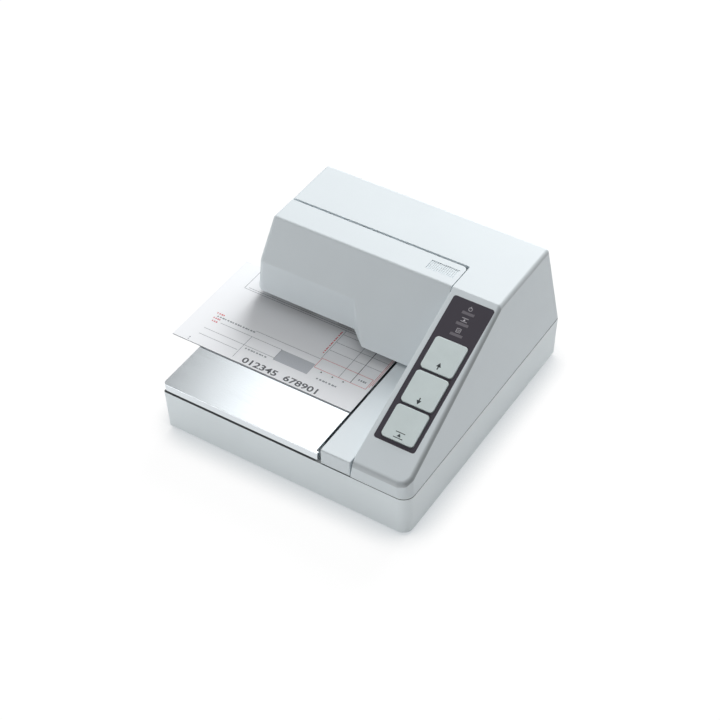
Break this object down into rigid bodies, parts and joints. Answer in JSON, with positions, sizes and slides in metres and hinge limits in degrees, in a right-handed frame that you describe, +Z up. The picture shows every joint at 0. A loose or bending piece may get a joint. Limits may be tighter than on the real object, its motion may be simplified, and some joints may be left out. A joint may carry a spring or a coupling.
{
  "type": "dot matrix printer",
  "caption": "compact slip printer: pale moulded case with a flat slip table, a sloping control block with square keys and a hinged ribbon cover over the print mechanism",
  "frame": {"origin": "on the surface the feet stand on, under the middle of the whole outline; the loaded slip reaches out at the left, so the case's own middle is 10.95 mm to the right of the origin", "axes": "+X to the right seen from the front, +Y to the rear, +Z up"},
  "size_m": [0.202, 0.19, 0.095],
  "materials": {
    "case": "fine even grain, pale cool grey",
    "cover": "fine even grain, pale cool grey",
    "table": "smooth pale paint with a soft sheen",
    "panel": "printed film, dark warm grey",
    "key": "smooth moulded, grey",
    "lens": "smoked clear",
    "board": "green solder lacquer",
    "black_parts": "moulded black",
    "rubber": "dull black rubber",
    "sheet_steel": "zinc-plated sheet",
    "bar_steel": "ground bar",
    "screw_steel": "zinc-plated",
    "motor": "plated can",
    "head": "cast, dark",
    "gear": "natural nylon",
    "pinion": "cut brass",
    "ribbon": "inked nylon",
    "connector": "tinned shell round a dark insert",
    "slip": "smooth paper"
  },
  "bodies": {
    "chassis": {"lower_case": "case", "upper_case": "case", "cover_hinge_pin": "bar_steel", "slip_table": "table", "side_guide": "case", "control_panel": "panel", "indicator_lenses": "lens", "panel_board": "board", "key_switches": "black_parts", "rubber_feet": "rubber", "case_screws": "screw_steel", "left_side_plate": "sheet_steel", "right_side_plate": "sheet_steel", "frame_deck": "sheet_steel", "rear_stay": "sheet_steel", "frame_screws": "screw_steel", "platen": "bar_steel", "carriage_guide_shaft": "bar_steel", "rear_guide_shaft": "bar_steel", "timing_belt": "rubber", "idler_stud": "bar_steel", "carriage_motor": "motor", "ribbon_cassette": "black_parts", "ink_ribbon": "ribbon", "spindle_bracket": "sheet_steel", "middle_gear_stud": "bar_steel", "feed_motor": "motor", "pinch_springs": "bar_steel", "release_solenoid": "motor", "main_board": "board", "board_parts": "black_parts", "data_connector": "connector", "jack_posts": "screw_steel", "power_inlet": "black_parts", "ground_screw": "screw_steel", "power_switch": "black_parts"},
    "cover": {"ribbon_cover": "cover"},
    "forward_button": {"forward_key": "key"},
    "reverse_button": {"reverse_key": "key"},
    "release_button": {"release_key": "key"},
    "rocker": {"power_rocker": "black_parts"},
    "carriage": {"head_carriage": "black_parts", "print_head": "head", "head_screws": "screw_steel"},
    "belt_drive": {"drive_pulley": "bar_steel"},
    "belt_idler": {"idler_pulley": "gear"},
    "slip": {"paper_slip": "slip"},
    "feed_train": {"feed_shaft": "bar_steel", "feed_rollers": "rubber", "feed_gear": "gear"},
    "gear_between": {"middle_gear": "gear"},
    "pinion": {"motor_pinion": "pinion"},
    "pinch_arm": {"pinch_frame": "sheet_steel"},
    "pinch_roll": {"pinch_shaft": "bar_steel", "pinch_rollers": "rubber"},
    "plunger": {"solenoid_plunger": "bar_steel"},
    "stopper": {"form_stopper": "sheet_steel"},
    "ribbon_drive": {"ribbon_spindle": "bar_steel", "ribbon_knob": "black_parts"}
  },
  "joints": [
    {"name": "cover_hinge", "type": "hinge", "parent": "chassis", "child": "cover", "pos_m": [-0.0711, 0, 0.0505], "axis": [0, -1, 0], "range_deg": [0, 95]},
    {"name": "forward_press", "type": "slide", "parent": "chassis", "child": "forward_button", "axis": [0, 0.3898, -0.9209], "range_m": [0, 0.0006], "stiffness_N_per_m": 400, "springref_m": -0.0004},
    {"name": "reverse_press", "type": "slide", "parent": "chassis", "child": "reverse_button", "axis": [0, 0.3898, -0.9209], "range_m": [0, 0.0006], "stiffness_N_per_m": 400, "springref_m": -0.0004},
    {"name": "release_press", "type": "slide", "parent": "chassis", "child": "release_button", "axis": [0, 0.3898, -0.9209], "range_m": [0, 0.0006], "stiffness_N_per_m": 400, "springref_m": -0.0004},
    {"name": "power_rock", "type": "hinge", "parent": "chassis", "child": "rocker", "pos_m": [-0.07345, 0.062, 0.019], "axis": [0, 0, 1], "range_deg": [0, 12]},
    {"name": "carriage_travel", "type": "slide", "parent": "chassis", "child": "carriage", "axis": [1, 0, 0], "range_m": [-0.064, 0]},
    {"name": "drive_pulley_turn", "type": "hinge", "parent": "chassis", "child": "belt_drive", "pos_m": [0.04375, 0.062, 0.0461], "axis": [0, 0, 1], "range_deg": [-611.15, 0]},
    {"name": "idler_pulley_turn", "type": "hinge", "parent": "chassis", "child": "belt_idler", "pos_m": [-0.05695, 0.062, 0.0461], "axis": [0, 0, 1], "range_deg": [-611.15, 0]},
    {"name": "slip_feed", "type": "slide", "parent": "chassis", "child": "slip", "axis": [0, 1, 0], "range_m": [-0.06, 0]},
    {"name": "feed_shaft_turn", "type": "hinge", "parent": "chassis", "child": "feed_train", "pos_m": [0.01095, 0.0104, 0.0348], "axis": [1, 0, 0], "range_deg": [0, 687.55]},
    {"name": "middle_gear_turn", "type": "hinge", "parent": "chassis", "child": "gear_between", "pos_m": [0.05555, 0.02171, 0.02349], "axis": [1, 0, 0], "range_deg": [-883.99, 0]},
    {"name": "motor_pinion_turn", "type": "hinge", "parent": "chassis", "child": "pinion", "pos_m": [0.05555, 0.02937, 0.01706], "axis": [1, 0, 0], "range_deg": [0, 2062.65]},
    {"name": "pinch_lift", "type": "hinge", "parent": "chassis", "child": "pinch_arm", "pos_m": [0.01095, 0.046, 0.044], "axis": [-1, 0, 0], "range_deg": [0, 4.09], "deforming": ["pinch_springs"]},
    {"name": "pinch_roller_turn", "type": "hinge", "parent": "pinch_arm", "child": "pinch_roll", "pos_m": [0.01095, 0.0104, 0.0442], "axis": [1, 0, 0], "range_deg": [-982.21, 0]},
    {"name": "plunger_pull", "type": "slide", "parent": "chassis", "child": "plunger", "axis": [0, 0, -1], "range_m": [0, 0.001], "stiffness_N_per_m": 600, "springref_m": -0.0006},
    {"name": "stopper_rise", "type": "slide", "parent": "chassis", "child": "stopper", "axis": [0, 0, 1], "range_m": [0, 0.0042]},
    {"name": "spindle_turn", "type": "hinge", "parent": "chassis", "child": "ribbon_drive", "pos_m": [0.04345, 0.04, 0.061], "axis": [0, 1, 0], "continuous": true}
  ],
  "couplings": [
    {"joint": "drive_pulley_turn", "follows": "carriage_travel", "rad_per_m": 166.67},
    {"joint": "idler_pulley_turn", "follows": "carriage_travel", "rad_per_m": 166.67},
    {"joint": "feed_shaft_turn", "follows": "slip_feed", "rad_per_m": -200},
    {"joint": "middle_gear_turn", "follows": "slip_feed", "rad_per_m": 257.14},
    {"joint": "motor_pinion_turn", "follows": "slip_feed", "rad_per_m": -600},
    {"joint": "pinch_roller_turn", "follows": "slip_feed", "rad_per_m": 285.71},
    {"joint": "pinch_lift", "follows": "plunger_pull", "rad_per_m": 71.429},
    {"joint": "stopper_rise", "follows": "plunger_pull", "ratio": 4.2}
  ]
}
